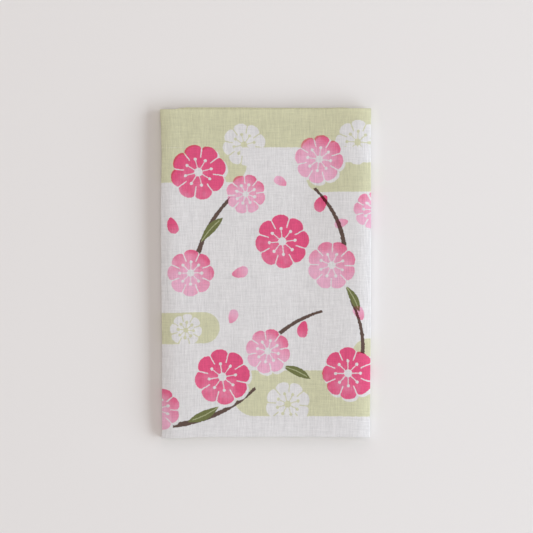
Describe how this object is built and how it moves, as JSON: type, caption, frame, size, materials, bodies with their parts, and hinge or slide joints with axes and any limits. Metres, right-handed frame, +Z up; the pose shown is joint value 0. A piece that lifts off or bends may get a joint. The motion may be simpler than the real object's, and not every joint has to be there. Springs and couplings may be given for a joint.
{
  "type": "folded hand towel",
  "caption": "Thin cotton hand towel, folded flat into a neat oblong with rounded side folds.",
  "frame": {"origin": "centre of the packet's outline, on the surface it lies on", "axes": "+X across the packet to the right as seen from above, +Y along it to its top end, +Z up from the surface"},
  "size_m": [0.1152, 0.1814, 0.0068],
  "materials": {
    "cotton": "matte"
  },
  "bodies": {
    "root": {"towel": "cotton"}
  },
  "joints": []
}
